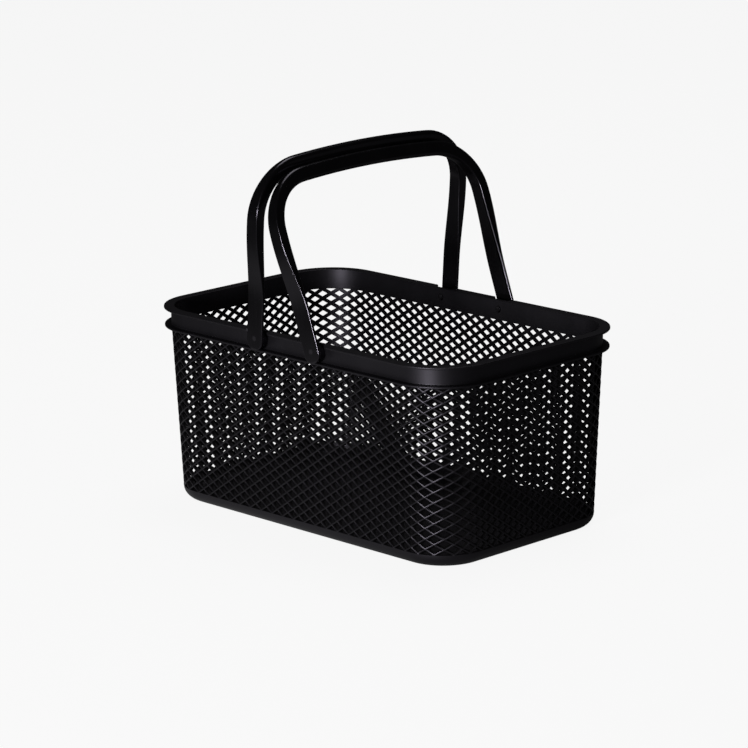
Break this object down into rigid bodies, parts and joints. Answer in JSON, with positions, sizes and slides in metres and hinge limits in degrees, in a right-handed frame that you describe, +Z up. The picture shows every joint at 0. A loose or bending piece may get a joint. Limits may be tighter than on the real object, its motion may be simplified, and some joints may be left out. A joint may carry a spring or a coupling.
{
  "type": "organizer basket",
  "caption": "Open rectangular basket with rounded corners, diamond-mesh sides, a plain rim and swinging carry handles, for storing and carrying small things.",
  "frame": {"origin": "centre of the underside, on the surface that the basket stands on", "axes": "+X along the long side towards the right handle's hinges, +Y across towards the back wall, +Z up out of the mouth"},
  "size_m": [0.3, 0.2046, 0.2631],
  "materials": {
    "tub_plastic": "satin black moulded plastic",
    "handle_plastic": "satin black moulded plastic, slightly smoother than the tub"
  },
  "bodies": {
    "tub": {"rim_band": "tub_plastic", "base_tray": "tub_plastic", "front_mesh_wall": "tub_plastic", "back_mesh_wall": "tub_plastic", "left_mesh_wall": "tub_plastic", "right_mesh_wall": "tub_plastic", "front_left_mesh_corner": "tub_plastic", "front_right_mesh_corner": "tub_plastic", "back_left_mesh_corner": "tub_plastic", "back_right_mesh_corner": "tub_plastic"},
    "left_carry_handle": {"left_handle": "handle_plastic"},
    "right_carry_handle": {"right_handle": "handle_plastic"}
  },
  "joints": [
    {"name": "left_handle_swing", "type": "hinge", "parent": "tub", "child": "left_carry_handle", "pos_m": [-0.0285, 0, 0.1345], "axis": [0, -1, 0], "range_deg": [0, 89]},
    {"name": "right_handle_swing", "type": "hinge", "parent": "tub", "child": "right_carry_handle", "pos_m": [0.0285, 0, 0.1345], "axis": [0, 1, 0], "range_deg": [0, 104.2]}
  ]
}
